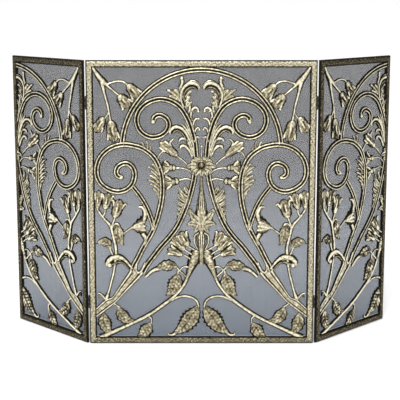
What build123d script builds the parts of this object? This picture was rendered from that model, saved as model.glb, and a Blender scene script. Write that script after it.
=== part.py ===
"""Three-panel folding fireplace screen: cast filigree panels in mitred frames, backed with wire mesh.

Frame: +X to the viewer's right, +Y away from the viewer, +Z up, millimetres.
Origin: on the floor, in the middle of the front face of the centre panel.
The wings are modelled folded back by REST_FOLD from the plane of the centre panel.

The filigree is drawn once, as one half of the centre panel: u is the distance from the centre line
and z the height above the floor. The centre panel holds two mirrored halves, and each wing one.
"""

from build123d import *
import math
import os

# Driving dimensions
PANEL_W = 660.0
PANEL_H = 838.0
WING_W = 327.0
BAR_W = 21.0
BAR_D = 8.0
BAR_ROUND = 2.5
HINGE_GAP = 1.5
REST_FOLD = 42.0

# Hinges
KNUCKLE_R = 2.6
PIN_HEIGHT = 3.0
PIN_R = 1.2
RUNNING = 0.05
LEAF_T = 1.5
HINGE_L = 38.0
KNUCKLES = 5
KNUCKLE_GAP = 0.4
LEAF_INSET = 13.5
HINGE_HEIGHTS = (125.0, 715.0)
HINGE_SCREW_PITCH = 22.0
HINGE_SCREW_INSET = 7.0
HINGE_SCREW_R = 1.5
HINGE_HEAD_R = 2.6
HINGE_HEAD_T = 0.7

# Wire mesh and its hem
HEM_W = 5.0
HEM_T = 2.0
HEM_LAP = 1.0
MESH_T = 0.8
MESH_SCREW_R = 1.2
MESH_HEAD_R = 2.3
MESH_HEAD_T = 0.8
MESH_SCREW_HEIGHTS = (60.0, 300.0, 560.0, 790.0)
SCREW_DEPTH = 5.0
HOLE_CLEARANCE = 0.05

# Filigree
BAR_FRONT = 1.0
SCROLL_T = 7.0
LEAF_FRONT = 2.0
CAST_LEAF_T = 5.0
SCROLL_W = 17.0
BRANCH_W = 15.0
STEM_GROW = 1.35
LEAF_GROW = 1.22
CUP_SHARE = 0.40
ARCH_R = 229.0
ARCH_Z = 581.5
ROSETTE_Z = 537.0
ROSETTE_CUP = 17.0
ROSETTE_T = 6.0
FLAKE_VOLUME = 20.0

# Derived places
HALF_W = PANEL_W / 2
INNER_U = HALF_W - BAR_W
INNER_LOW = BAR_W
INNER_HIGH = PANEL_H - BAR_W
HINGE_X = HALF_W + HINGE_GAP / 2
HINGE_Y = BAR_D + PIN_HEIGHT
WING_SHIFT = PANEL_W + HINGE_GAP
WING_INNER_U = WING_SHIFT - (HALF_W + HINGE_GAP + WING_W) + BAR_W
WING_OUTER_U = WING_INNER_U - BAR_W

# Centre lines as (u, z, width)
S_SCROLL = [(160, 238), (138, 268), (120, 292), (92, 324), (70, 355), (50, 398), (35, 442), (24, 485),
            (18, 520), (15, 548), (17, 578), (20, 606), (27, 634), (39, 668), (61, 703), (90, 722),
            (122, 727), (155, 716), (178, 694), (186, 668), (180, 643), (165, 626), (142, 617), (117, 622),
            (100, 636), (94, 655), (101, 672), (119, 681), (134, 675), (138, 662)]
C_SCROLL = [(197, 240), (190, 252), (170, 292), (144, 338), (131, 370), (124, 395), (116, 431), (113, 474),
            (118, 517), (136, 557), (165, 582), (192, 592), (222, 596), (252, 590), (277, 575), (296, 550),
            (303, 517), (295, 488), (274, 468), (246, 458), (220, 463), (201, 480), (193, 506), (197, 526),
            (208, 538), (222, 541), (239, 533), (246, 518), (242, 505), (231, 500)]
BRANCH = [(199, 472), (177, 443), (159, 411), (147, 379), (139, 352)]
BAND_TOP = [(309, 110), (282, 136), (262, 144), (240, 178), (216, 215), (203, 238)]
BAND_LOW = [(155, 232), (180, 200), (215, 164), (257, 120), (309, 79)]
BAND_FORK = (184, 214)

CORNER_STEMS = [
    [(309, 817, 8), (290, 789, 21), (268, 767, 12)],
    [(270, 768, 7), (256, 774, 5), (240, 778, 5), (222, 776, 5), (208, 766, 5)],
    [(270, 767, 7), (250, 750, 5), (232, 735, 5)],
    [(285, 780, 12), (276, 740, 7), (268, 710, 6), (264, 686, 6), (259, 658, 5)],
    [(264, 692, 5), (272, 677, 4), (282, 667, 4)],
]
CORNER_FLOWERS = [(212, 771, 178, 731, 26, 0.5), (238, 741, 205, 702, 28, 0.6), (261, 668, 250, 602, 28, 0.4),
                  (279, 678, 303, 630, 24, 0.3)]
VINE_STEMS = [
    [(281, 133, 12), (272, 160, 6), (264, 190, 6), (256, 224, 6), (251, 262, 8), (250, 290, 8),
     (257, 325, 7), (265, 356, 8), (282, 377, 6), (298, 399, 6), (304, 412, 5)],
    [(263, 352, 6), (256, 368, 5), (250, 385, 5)],
    [(288, 384, 6), (281, 394, 5), (279, 410, 4)],
    [(262, 350, 6), (252, 362, 5), (242, 361, 6), (238, 350, 6)],
    [(232, 330, 5), (220, 339, 4), (203, 351, 5)],
    [(167, 378, 6), (165, 396, 8), (173, 411, 6), (184, 413, 3)],
    [(168, 330, 10), (163, 314, 8), (168, 301, 6), (176, 297, 3)],
    [(204, 226, 8), (224, 249, 10), (241, 257, 17), (258, 254, 20), (270, 245, 15), (273, 238, 6)],
    [(256, 262, 5), (263, 278, 5), (268, 292, 5)],
    [(284, 137, 7), (294, 150, 4), (304, 153, 3)],
]
VINE_LEAVES = [(241, 362, 231, 297, 27, 5), (206, 351, 165, 356, 47, 0), (264, 288, 306, 306, 24, 12)]
VINE_FLOWERS = [(253, 378, 235, 436, 26, 1.0), (280, 404, 269, 456, 22, 1.0), (302, 406, 297, 463, 17, 0.4)]
BASE_STEMS = [
    [(300, 18, 12), (284, 24, 12), (224, 52, 10), (156, 87, 9), (90, 135, 9), (65, 160, 8), (47, 187, 8),
     (36, 217, 9), (27, 243, 14), (14, 262, 26), (3, 282, 26)],
    [(257, 122, 5), (248, 115, 4), (240, 111, 4)],
    [(157, 84, 5), (148, 75, 5), (149, 60, 4)],
    [(88, 132, 7), (67, 141, 6), (48, 142, 6), (30, 137, 6), (17, 126, 6), (11, 112, 6)],
    [(64, 222, 4), (56, 231, 4), (46, 234, 4), (31, 229, 5)],
    [(78, 238, 5), (62, 220, 5), (44, 203, 5), (38, 196, 5)],
    [(68, 222, 5), (69, 212, 5)],
    [(39, 296, 4), (20, 284, 5)],
    [(48, 284, 4), (24, 268, 5)],
    [(54, 271, 4), (34, 258, 5), (24, 246, 6)],
    [(124, 230, 12), (142, 221, 9), (154, 210, 8), (165, 202, 7)],
]
BASE_LEAVES = [
    (244, 113, 196, 64, 30, 12), (287, 94, 266, 25, 32, 8), (151, 63, 188, 16, 32, -4),
    (12, 114, 80, 22, 40, -4), (70, 233, 134, 226, 28, 8), (69, 214, 100, 143, 36, -6),
]
BASE_FLOWERS = [(36, 291, 64, 343, 20, 0.8), (46, 280, 80, 323, 19, 0.7), (52, 267, 102, 288, 17, 0.8)]
BUD_STEMS = [
    [(38, 535, 4), (56, 552, 4), (72, 563, 5)],
    [(27, 512, 5), (37, 521, 4), (56, 527, 4), (73, 527, 5)],
    [(24, 491, 5), (43, 496, 4), (64, 492, 5)],
    [(84, 563, 5), (96, 572, 4), (109, 576, 4), (119, 569, 4), (126, 556, 4)],
    [(78, 575, 6), (88, 591, 7), (90, 602, 6), (82, 611, 4)],
]
BUD_FLOWERS = [(68, 562, 121, 603, 22, 0.2), (72, 527, 113, 530, 23, 1.0), (63, 490, 108, 484, 25, 0.9)]
CREST_STEMS = [
    [(48, 706, 7), (55, 728, 8), (54, 745, 10), (44, 761, 12), (28, 768, 13), (14, 764, 13), (9, 754, 10)],
    [(55, 742, 7), (59, 760, 7), (55, 774, 7), (56, 786, 9)],
    [(46, 706, 5), (40, 722, 5), (39, 738, 5), (30, 748, 4)],
    [(36, 690, 4), (33, 704, 5), (36, 716, 4)],
    [(31, 676, 4), (28, 693, 5), (20, 702, 6), (11, 700, 5), (8, 692, 4)],
    [(25, 648, 4), (22, 661, 4), (16, 670, 4), (7, 673, 3)],
]
CREST_LEAVES = [(56, 720, 98, 758, 8, 3), (58, 726, 91, 738, 7, 2), (54, 732, 75, 752, 8, 2),
                (46, 720, 31, 736, 6, 1), (44, 704, 26, 720, 6, 1)]
ACANTHUS = [
    [(21, 556, 7), (31, 590, 9), (42, 618, 11), (56, 637, 13), (72, 643, 14), (85, 636, 14), (87, 626, 11)],
    [(25, 562, 6), (37, 600, 7), (47, 612, 7), (60, 612, 7), (64, 605, 5)],
    [(26, 560, 6), (36, 580, 7), (47, 591, 8), (58, 591, 8), (61, 583, 6)],
    [(26, 592, 5), (36, 626, 6), (50, 648, 5), (58, 656, 3)],
    [(120, 536, 4), (127, 508, 8), (126, 468, 8), (123, 436, 4)],
    [(32, 464, 4), (43, 430, 8), (57, 397, 7), (70, 374, 3)],
]
ACANTHUS_LEAVES = [
    (124, 508, 155, 534, 8, 3), (121, 484, 151, 508, 8, 3), (120, 461, 150, 483, 8, 3),
    (35, 456, 52, 478, 11, -3), (38, 442, 67, 471, 13, -4), (43, 430, 70, 449, 12, -4),
    (48, 416, 73, 430, 11, -3), (54, 402, 73, 413, 9, -2), (157, 579, 157, 609, 6, 2),
]
ROSETTE_PETALS = [(-6, 12, 45, 15), (-34, 13, 38, 14), (-62, 13, 37, 13), (-90, 12, 36, 12), (22, 12, 35, 12),
                  (47, 12, 31, 10), (72, 10, 27, 8)]
FINIAL = [(0, 530), (4, 530), (5, 470), (12, 433), (16, 400), (37, 402), (35, 392), (14, 378), (12, 372),
          (38, 367), (29, 352), (13, 343), (12, 331), (17, 324), (16, 312), (10, 290), (7, 268), (0, 262)]


def blend_tangent(points, i):
    """Unit direction of a centre line at its point i."""
    a = points[max(i - 1, 0)]
    b = points[min(i + 1, len(points) - 1)]
    length = math.dist(a[:2], b[:2])
    return (b[0] - a[0]) / length, (b[1] - a[1]) / length


def stroke(points, width=None):
    """A bar or stem of changing width along a smooth centre line."""
    left, right = [], []
    for i, p in enumerate(points):
        tu, tz = blend_tangent(points, i)
        half = width / 2 if width else p[2] * STEM_GROW / 2
        left.append((p[0] - tz * half, p[1] + tu * half))
        right.append((p[0] + tz * half, p[1] - tu * half))
    right.reverse()
    if len(points) == 2:
        return make_face(Polyline(*left, *right, close=True).edges())
    sides = [Spline(*left), Line(left[-1], right[0]), Spline(*right), Line(right[-1], left[0])]
    return make_face([e for side in sides for e in side.edges()])


def leaf(u0, z0, u1, z1, width, bend):
    """A leaf, bud or bell: two arcs from base to tip, bowed sideways by bend."""
    length = math.dist((u0, z0), (u1, z1))
    width = width * LEAF_GROW
    nu, nz = -(z1 - z0) / length, (u1 - u0) / length
    mu, mz = (u0 + u1) / 2 + nu * bend, (z0 + z1) / 2 + nz * bend
    one = ThreePointArc((u0, z0), (mu + nu * width / 2, mz + nz * width / 2), (u1, z1))
    two = ThreePointArc((u1, z1), (mu - nu * width / 2, mz - nz * width / 2), (u0, z0))
    return make_face([*one.edges(), *two.edges()])


def flower(u0, z0, u1, z1, width, flare):
    """A bud or bell: a round cup, a body, and two petals that curl outwards."""
    length = math.dist((u0, z0), (u1, z1))
    au, az = (u1 - u0) / length, (z1 - z0) / length
    radius = CUP_SHARE * width

    def spot(along, across):
        return u0 + au * along - az * across, z0 + az * along + au * across

    petals = []
    for side in (-1, 1):
        path = [spot(1.25 * radius + 0.25 * length, side * 0.22 * width), spot(0.66 * length, side * 0.5 * width),
                spot(0.84 * length, side * (0.5 + 0.22 * flare) * width)]
        petals.append(stroke([(*place, w) for place, w in zip(path, (5, 6, 4))]))
    body = leaf(*spot(radius, 0), u1, z1, width, 0)
    return [Pos(*spot(radius, 0)) * Circle(radius), body, *petals]


def fused(faces):
    """One flat shape from many that overlap."""
    total = Sketch() + faces[0]
    for face in faces[1:]:
        total = total + face
    return total


def arch(u_low):
    """The round arch over the top, from the centre line, or from u_low, down to the large scroll."""
    ring = Circle(ARCH_R + SCROLL_W / 2) - Circle(ARCH_R - SCROLL_W / 2)
    keep = Pos(INNER_U / 2, INNER_U / 2 + 18) * Rectangle(INNER_U, INNER_U)
    return Pos(0, ARCH_Z) * (ring & keep) & window(u_low)


def window(u_low):
    """The clear opening of the frame, from u_low to the stile."""
    middle = Pos((u_low + INNER_U) / 2, (INNER_LOW + INNER_HIGH) / 2)
    return middle * Rectangle(INNER_U - u_low, INNER_HIGH - INNER_LOW)


def band():
    """The broad textured root of the two scrolls."""
    edges = [Spline(*BAND_TOP), Line(BAND_TOP[-1], BAND_FORK), Line(BAND_FORK, BAND_LOW[0]),
             Spline(*BAND_LOW), Line(BAND_LOW[-1], BAND_TOP[0])]
    return make_face([e for edge in edges for e in edge.edges()])


def shapes(stems, leaves, flowers):
    """The flat shapes of one spray."""
    heads = [face for values in flowers for face in flower(*values)]
    return [*map(stroke, stems), *(leaf(*values) for values in leaves), *heads]


def half_pattern(u_low):
    """Every casting of one half of the pattern, flat, trimmed to the frame opening from u_low outwards."""
    clear = window(u_low)
    scrolls = [stroke(S_SCROLL, SCROLL_W), stroke(C_SCROLL, SCROLL_W), stroke(BRANCH, BRANCH_W), band()]
    leaves = [stroke(s) for s in ACANTHUS] + [leaf(*v) for v in ACANTHUS_LEAVES]
    main = fused(scrolls + leaves) & clear
    top = arch(u_low) - main
    finial = make_face(Polyline(*FINIAL, close=True).edges())
    finial = (Sketch() + finial) & clear
    drawn = {
        "scrollwork": main,
        "arch": top,
        "corner_spray": shapes(CORNER_STEMS, [], CORNER_FLOWERS),
        "side_vine": shapes(VINE_STEMS, VINE_LEAVES, VINE_FLOWERS),
        "base_vine": shapes(BASE_STEMS, BASE_LEAVES, BASE_FLOWERS),
        "bud_stems": shapes(BUD_STEMS, [], BUD_FLOWERS),
        "crest": shapes(CREST_STEMS, CREST_LEAVES, []),
    }
    for name, faces in drawn.items():
        if isinstance(faces, list):
            drawn[name] = ((fused(faces) & clear) - main - top) - finial
    drawn["finial"] = finial - main
    drawn["bud_stems"] = drawn["bud_stems"] - drawn["finial"]
    return drawn


def cast(flat, sign, shift, front, thickness):
    """A casting from its flat shape: u runs along +X or -X from shift, and front is the face's Y."""
    solid = extrude(flat, thickness)
    solid = Pos(0, front + thickness, 0) * (Rot(90, 0, 0) * solid)
    if sign < 0:
        solid = mirror(solid, Plane.YZ)
    return Pos(shift, 0, 0) * solid


def rosette(u_low):
    """Ragged petals round a cup, in front of the scrolls where they meet."""
    flat = Sketch() + Circle(ROSETTE_CUP)
    for angle, near, far, width in ROSETTE_PETALS:
        for turn in (math.radians(angle), math.radians(180 - angle)):
            reach_u, reach_z = math.cos(turn), math.sin(turn)
            flat = flat + leaf(near * reach_u, near * reach_z, far * reach_u, far * reach_z, width, 0)
    flat = Pos(0, ROSETTE_Z) * flat
    return flat & (Pos(0, PANEL_H / 2) * Rectangle(PANEL_W, PANEL_H) if u_low == 0 else window(u_low))


def bar(length, mitre_high):
    """A mitred frame bar lying along X with its outer edge on Z = 0 and its front face on Y = 0."""
    points = [(0, 0), (length, 0), (length - BAR_W, BAR_W), (BAR_W, BAR_W)]
    solid = extrude(make_face(Polyline(*points, close=True).edges()), BAR_D)
    solid = Pos(0, BAR_D, 0) * (Rot(90, 0, 0) * solid)
    front = [e for e in solid.edges().filter_by(Axis.X) if e.center().Y < 0.01]
    solid = fillet(front, BAR_ROUND)
    return mirror(solid, Plane.XY) if mitre_high else solid


def frame_bars(x_low, x_high):
    """The four bars of one panel between two outer edges."""
    width = x_high - x_low
    upright = Rot(0, -90, 0) * bar(PANEL_H, False)
    return {
        "bottom_rail": Pos(x_low, 0, 0) * bar(width, False),
        "top_rail": Pos(x_low, 0, PANEL_H) * bar(width, True),
        "low_x_stile": Pos(x_low, 0, 0) * mirror(upright, Plane.YZ),
        "high_x_stile": Pos(x_high, 0, 0) * upright,
    }


def rod(radius, x, y, z, length):
    """A round rod from y towards +Y."""
    return Pos(x, y + length / 2, z) * (Rot(90, 0, 0) * Cylinder(radius, length))


def screws(places, radius, head_radius, head_thickness, seat):
    """Identical screws driven forwards from the back, with their heads on the plane Y = seat."""
    made = []
    for x, z in places:
        shank = rod(radius, x, BAR_D - SCREW_DEPTH, z, seat - BAR_D + SCREW_DEPTH)
        made.append(shank + rod(head_radius, x, seat, z, head_thickness))
    return made


def holes(places, radius):
    """Clearance holes for the same screws."""
    depth = SCREW_DEPTH + HOLE_CLEARANCE
    reach = HINGE_Y - BAR_D + depth
    return [rod(radius + HOLE_CLEARANCE, x, BAR_D - depth, z, reach) for x, z in places]


def mesh_panel(x_low, x_high, screw_places):
    """The wire mesh as a thin sheet, and the four folded hem strips round it."""
    low, high = x_low + BAR_W - HEM_LAP - HEM_W, x_high - BAR_W + HEM_LAP + HEM_W
    foot, head = INNER_LOW + 1, INNER_HIGH + HEM_LAP + HEM_W
    middle_y = BAR_D + HEM_T / 2

    def strip(x0, x1, z0, z1):
        return Pos((x0 + x1) / 2, middle_y, (z0 + z1) / 2) * Box(x1 - x0, HEM_T, z1 - z0)

    hem = [
        strip(low, high, foot, foot + HEM_W), strip(low, high, head - HEM_W, head),
        strip(low, low + HEM_W, foot + HEM_W, head - HEM_W), strip(high - HEM_W, high, foot + HEM_W, head - HEM_W),
    ]
    cut = holes(screw_places, MESH_SCREW_R)
    hem = [piece - cut for piece in hem]
    size = (high - low - 2 * HEM_W, MESH_T, head - foot - 2 * HEM_W)
    sheet = Pos((low + high) / 2, middle_y, (foot + head) / 2) * Box(*size)
    return sheet, hem


def mesh_screw_places(x_low, x_high):
    """On both stiles and in the top rail, in the middle of the hem."""
    inset = BAR_W - HEM_LAP - HEM_W / 2
    sides = [(x, z) for z in MESH_SCREW_HEIGHTS for x in (x_low + inset, x_high - inset)]
    head = INNER_HIGH + HEM_LAP + HEM_W / 2
    count = 3 if x_high - x_low > WING_W + 1 else 1
    step = (x_high - x_low) / (count + 1)
    return sides + [(x_low + step * (i + 1), head) for i in range(count)]


def hinge_leaf(side, centre_leaf, height):
    """One leaf of a butt hinge on the back of a stile, with its share of the knuckles."""
    inward = -side if centre_leaf else side
    plate_w = LEAF_INSET + HINGE_GAP / 2 - KNUCKLE_R / 2
    plate_x = side * HINGE_X + inward * (KNUCKLE_R / 2 + plate_w / 2)
    plate = Pos(plate_x, BAR_D + LEAF_T / 2, height) * Box(plate_w, LEAF_T, HINGE_L)
    segment = HINGE_L / KNUCKLES
    barrel_at = Pos(side * HINGE_X, HINGE_Y, 0)
    for k in range(KNUCKLES):
        middle = height - HINGE_L / 2 + (k + 0.5) * segment
        if (k % 2 == 0) == centre_leaf:
            plate = plate + barrel_at * (Pos(0, 0, middle) * Cylinder(KNUCKLE_R, segment - KNUCKLE_GAP))
        else:
            notch = Cylinder(KNUCKLE_R + KNUCKLE_GAP, segment + KNUCKLE_GAP)
            plate = plate - barrel_at * (Pos(0, 0, middle) * notch)
    plate = plate - barrel_at * (Pos(0, 0, height) * Cylinder(PIN_R + RUNNING, HINGE_L + 2))
    return plate - holes(hinge_screw_places(side, centre_leaf, [height]), HINGE_SCREW_R)


def hinge_screw_places(side, centre_leaf, heights):
    """Two screws in each leaf."""
    inward = -side if centre_leaf else side
    x = side * HINGE_X + inward * (HINGE_GAP / 2 + HINGE_SCREW_INSET)
    return [(x, h + dz) for h in heights for dz in (-HINGE_SCREW_PITCH / 2, HINGE_SCREW_PITCH / 2)]


def hinge_pins(side):
    """The two pins of one wing, headed at the top."""
    pins = []
    for height in HINGE_HEIGHTS:
        shaft = Pos(side * HINGE_X, HINGE_Y, height) * Cylinder(PIN_R, HINGE_L)
        cap = Pos(side * HINGE_X, HINGE_Y, height + HINGE_L / 2 + 0.75) * Cylinder(PIN_R + 1, 1.5)
        pins.append(shaft + cap)
    return pins


def folded(shape, side):
    """A wing's piece turned back about its hinge line by the resting fold."""
    about = Pos(side * HINGE_X, HINGE_Y, 0)
    turn = about * Rot(0, 0, side * REST_FOLD) * about.inverse()
    return [turn * s for s in shape] if isinstance(shape, list) else turn * shape


def panel_nodes(x_low, x_high, hinge_places):
    """The frame, mesh, hem and mesh screws of one panel, unfolded."""
    places = mesh_screw_places(x_low, x_high)
    cut = holes(places, MESH_SCREW_R) + holes(hinge_places, HINGE_SCREW_R)
    nodes = {name: solid - cut for name, solid in frame_bars(x_low, x_high).items()}
    nodes["wire_mesh"], nodes["mesh_hem"] = mesh_panel(x_low, x_high, places)
    nodes["mesh_screws"] = screws(places, MESH_SCREW_R, MESH_HEAD_R, MESH_HEAD_T, BAR_D + HEM_T)
    nodes["hinge_screws"] = screws(hinge_places, HINGE_SCREW_R, HINGE_HEAD_R, HINGE_HEAD_T, BAR_D + LEAF_T)
    return nodes


def thickness_of(name):
    """Front face and thickness of a casting: scrolls are thicker than leaves and stems."""
    thick = name in ("scrollwork", "arch", "finial")
    return (BAR_FRONT, SCROLL_T) if thick else (LEAF_FRONT, CAST_LEAF_T)


def centre_panel():
    """Every node of the fixed centre panel."""
    hinge_places = [p for side in (-1, 1) for p in hinge_screw_places(side, True, HINGE_HEIGHTS)]
    nodes = panel_nodes(-HALF_W, HALF_W, hinge_places)
    nodes["left_stile"] = nodes.pop("low_x_stile")
    nodes["right_stile"] = nodes.pop("high_x_stile")
    for name, flat in half_pattern(0).items():
        left = cast(flat, -1, 0, *thickness_of(name))
        right = cast(flat, 1, 0, *thickness_of(name))
        if name in ("arch", "base_vine", "crest", "finial"):
            nodes[name] = left + right
        else:
            nodes["left_" + name], nodes["right_" + name] = left, right
    nodes["rosette"] = cast(rosette(0), 1, 0, BAR_FRONT - ROSETTE_T, ROSETTE_T)
    for side, word in ((-1, "left"), (1, "right")):
        nodes[f"{word}_hinge_leaves"] = [hinge_leaf(side, True, height) for height in HINGE_HEIGHTS]
        nodes[f"{word}_hinge_pins"] = hinge_pins(side)
    return {"centre_" + name: shape for name, shape in nodes.items()}


def wing(side, word):
    """Every node of one wing, folded back to its resting angle."""
    near, far = HALF_W + HINGE_GAP, HALF_W + HINGE_GAP + WING_W
    x_low, x_high = (near, far) if side > 0 else (-far, -near)
    nodes = panel_nodes(x_low, x_high, hinge_screw_places(side, False, HINGE_HEIGHTS))
    inner, outer = ("low_x_stile", "high_x_stile") if side > 0 else ("high_x_stile", "low_x_stile")
    nodes["inner_stile"], nodes["outer_stile"] = nodes.pop(inner), nodes.pop(outer)
    flats = half_pattern(WING_INNER_U)
    flats["scrollwork"] = flats["scrollwork"] + flats.pop("arch")
    motif = [flats.pop("crest"), flats.pop("finial")]
    for name, flat in flats.items():
        nodes[name] = cast(flat, -side, side * WING_SHIFT, *thickness_of(name))
    half = fused(motif)
    nodes["half_motif"] = cast(half, -side, side * WING_SHIFT, LEAF_FRONT, CAST_LEAF_T)
    nodes["half_rosette"] = cast(rosette(WING_INNER_U), -side, side * WING_SHIFT, BAR_FRONT - ROSETTE_T, ROSETTE_T)
    nodes["hinge_leaves"] = [hinge_leaf(side, False, height) for height in HINGE_HEIGHTS]
    return {f"{word}_wing_{name}": folded(shape, side) for name, shape in nodes.items()}


def write(nodes):
    """One STEP file per node, without the flakes left where castings are trimmed against each other."""
    os.makedirs("parts", exist_ok=True)
    for name, shape in nodes.items():
        pieces = shape if isinstance(shape, list) else [shape]
        solids = [s for piece in pieces for s in piece.solids() if s.volume > FLAKE_VOLUME]
        whole = solids[0] if len(solids) == 1 else Compound(children=solids)
        export_step(whole, f"parts/{name}.step")


write(centre_panel())
write(wing(-1, "left"))
write(wing(1, "right"))
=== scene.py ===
"""Looks for the folding fireplace screen: cast relief, hammered frames, wire mesh, light and camera.

The filigree is drawn once as half of the centre panel, in millimetres: u from the centre line,
h above the back of the castings, z above the floor. Each copy is mirrored, trimmed and folded.
"""
import math

import bmesh
import bpy
import numpy as np
from mathutils import Matrix, Vector


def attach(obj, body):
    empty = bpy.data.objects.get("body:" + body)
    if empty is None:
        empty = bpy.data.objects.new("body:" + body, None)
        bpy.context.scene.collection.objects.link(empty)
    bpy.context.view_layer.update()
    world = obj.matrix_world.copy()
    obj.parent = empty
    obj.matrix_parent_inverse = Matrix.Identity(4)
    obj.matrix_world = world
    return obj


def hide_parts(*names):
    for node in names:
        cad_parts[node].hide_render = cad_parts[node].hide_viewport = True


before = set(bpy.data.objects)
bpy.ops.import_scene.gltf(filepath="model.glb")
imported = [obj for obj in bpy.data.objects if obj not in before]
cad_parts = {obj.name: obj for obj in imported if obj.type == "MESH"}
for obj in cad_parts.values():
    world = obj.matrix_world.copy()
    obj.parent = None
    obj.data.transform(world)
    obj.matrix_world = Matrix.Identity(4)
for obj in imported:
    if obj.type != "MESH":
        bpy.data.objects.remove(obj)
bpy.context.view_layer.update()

# Sizes of the frame in millimetres, and the wings' fold at rest in degrees
PANEL_W, PANEL_H, WING_W = 660.0, 838.0, 327.0
BAR_W, BAR_D = 21.0, 8.0
HINGE_GAP, PIN_HEIGHT, REST_FOLD = 1.5, 3.0, 42.0
HALF_W = PANEL_W / 2
HINGE_X, HINGE_Y = HALF_W + HINGE_GAP / 2, BAR_D + PIN_HEIGHT
WING_SHIFT = PANEL_W + HINGE_GAP
OPEN_U, OPEN_LOW, OPEN_HIGH = HALF_W - BAR_W, BAR_W, PANEL_H - BAR_W
WING_OPEN_U = WING_SHIFT - (HALF_W + HINGE_GAP + WING_W) + BAR_W
METRES = 0.001

# How far the castings run under the frame bars, in millimetres
TUCK = 0.4

# Wire mesh, in millimetres: its plane, its ends, how far in from a panel's edge it starts, and its wires
MESH_Y, MESH_FOOT, MESH_HEAD = BAR_D + 1.0, 22.0, 823.0
WIRE_MARGIN = 18.0
WIRE_PITCH, WING_PITCH, WIRE_R, WIRE_SIDES = 1.44, 2.35, 0.41, 6

# Sampling of curves, in millimetres along them, and points on the span between two drawn points
SCROLL_STEP, STEM_STEP, BAR_STEP, BAND_STEP = 2.4, 2.2, 3.0, 1.5
SPAN_POINTS = 12

# Sampling of leaves, along and across, and of the frame bars across
LEAF_ROWS, LEAF_STEP, LEAF_COLUMNS, BAR_COLUMNS = 14, 2, 15, 23

# Edges sharper than this many degrees stay crisp
SHARP_ANGLE = 60

# Widths of the scrolls and their branches, and how much wider than drawn the stems and leaves are
SCROLL_W, BRANCH_W = 18.6, 16.4
STEM_GROW, LEAF_GROW = 1.6, 1.28

# A leaf's tip hooks sideways by this share of its length
HOOK = 0.09

# Inside this share of the half width a casting is rubbed bright; outside it is black, the dark of the finish
# together with a painted shadow along the edge where the casting meets the mesh
EDGE = 0.84

# Height of the castings' lower edges, in millimetres
BACK = 0.8


# ---------------------------------------------------------------- curves

def catmull(points, step):
    """A smooth line through the points, sampled every step; further columns, such as width, follow."""
    pts = np.array(points, float)
    if len(pts) == 2:
        dense = pts[0] + np.linspace(0, 1, SPAN_POINTS)[:, None] * (pts[1] - pts[0])
    else:
        padded = np.vstack([2 * pts[0] - pts[1], pts, 2 * pts[-1] - pts[-2]])
        t = np.linspace(0, 1, SPAN_POINTS, endpoint=False)[:, None]
        spans = []
        for a, b, c, d in zip(padded, padded[1:], padded[2:], padded[3:]):
            spans.append(0.5 * (2 * b + (c - a) * t + (2 * a - 5 * b + 4 * c - d) * t**2
                                + (3 * b - a - 3 * c + d) * t**3))
        dense = np.vstack(spans + [pts[-1:]])
    run = np.concatenate([[0], np.cumsum(np.hypot(*np.diff(dense[:, :2], axis=0).T))])
    at = np.linspace(0, run[-1], max(4, int(run[-1] / step) + 1))
    return np.column_stack([np.interp(at, run, column) for column in dense.T]), at


def normals(line):
    """The sideways direction at each point of a line."""
    tangent = np.gradient(line[:, :2], axis=0)
    tangent /= np.linalg.norm(tangent, axis=1)[:, None] + 1e-9
    return np.column_stack([-tangent[:, 1], tangent[:, 0]])


# ---------------------------------------------------------------- relief pieces: (rings, tones)

def sweep(points, profile, width=None, rise=1.0, step=STEM_STEP, ends=(0, 0)):
    """A bar along a line. Profile rows are (share of half width, height in mm, tone).

    Points are (u, z, width), or (u, z) with one width for all. Ends are the lengths rounded off.
    """
    line, run = catmull([(p[0], p[1], width or p[2]) for p in points], step)
    half = line[:, 2] / 2 * (1 if width else STEM_GROW)
    for near, length in ((run, ends[0]), (run[-1] - run, ends[1])):
        if length:
            part = np.clip(near / length, 0.0, 1.0)
            half = half * np.sqrt(np.maximum(1 - (1 - part) ** 2, 0.03))
    side = normals(line)
    across, height, tone = np.array(profile).T
    offset = half[:, None] * across
    rings = np.empty((len(line), len(profile), 3))
    rings[..., 0] = line[:, :1] + side[:, :1] * offset
    rings[..., 2] = line[:, 1:2] + side[:, 1:2] * offset
    rings[..., 1] = height * rise
    return rings, np.tile(tone, (len(line), 1))


def double_ridge(half, groove, top=7.0, floor=3.0, floor_tone=0.0):
    """Two rounded ridges with a channel between them and a dark ledge outside."""
    middle, reach = (EDGE * half + groove) / 2 / half, (EDGE * half - groove) / 2 / half
    left = [(-1, BACK, 0.0), (-0.98, 2.6, 0.0), (-EDGE - 0.02, 3.6, 0.0),
            (-middle - 0.75 * reach, 0.80 * top, 0.35), (-middle - 0.35 * reach, 0.96 * top, 0.85),
            (-middle, top, 1.0), (-middle + 0.4 * reach, 0.95 * top, 0.8),
            (-middle + 0.8 * reach, 0.78 * top, 0.25), (-groove / half * 0.8, floor + 0.3, 0.0)]
    return left + [(0, floor, floor_tone)] + flipped(left)


def flipped(profile):
    """The same profile with its sides exchanged."""
    return [(-a, h, t) for a, h, t in reversed(profile)]


# The black outer rows of the stem and curl profiles are the dark of the finish together with a painted shadow
# where the casting meets the mesh
STEM_SIDE = [(-1, BACK, 0.0), (-0.97, 2.0, 0.0), (-0.76, 3.4, 0.02), (-0.58, 4.7, 0.55), (-0.30, 5.6, 0.95)]
STEM = STEM_SIDE + [(0, 5.9, 1.0)] + flipped(STEM_SIDE)
CURL = [(-1, BACK, 0.0), (-0.97, 2.4, 0.0), (-0.84, 4.8, 0.1), (-0.62, 6.2, 0.95), (-0.34, 6.5, 1.0),
        (-0.10, 5.6, 0.8), (0.08, 3.8, 0.0), (0.28, 3.4, 0.0), (0.44, 4.8, 0.4), (0.62, 5.2, 0.85),
        (0.80, 4.2, 0.2), (0.97, 2.4, 0.0), (1, BACK, 0.0)]
CURL_BACK = flipped(CURL)

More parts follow.
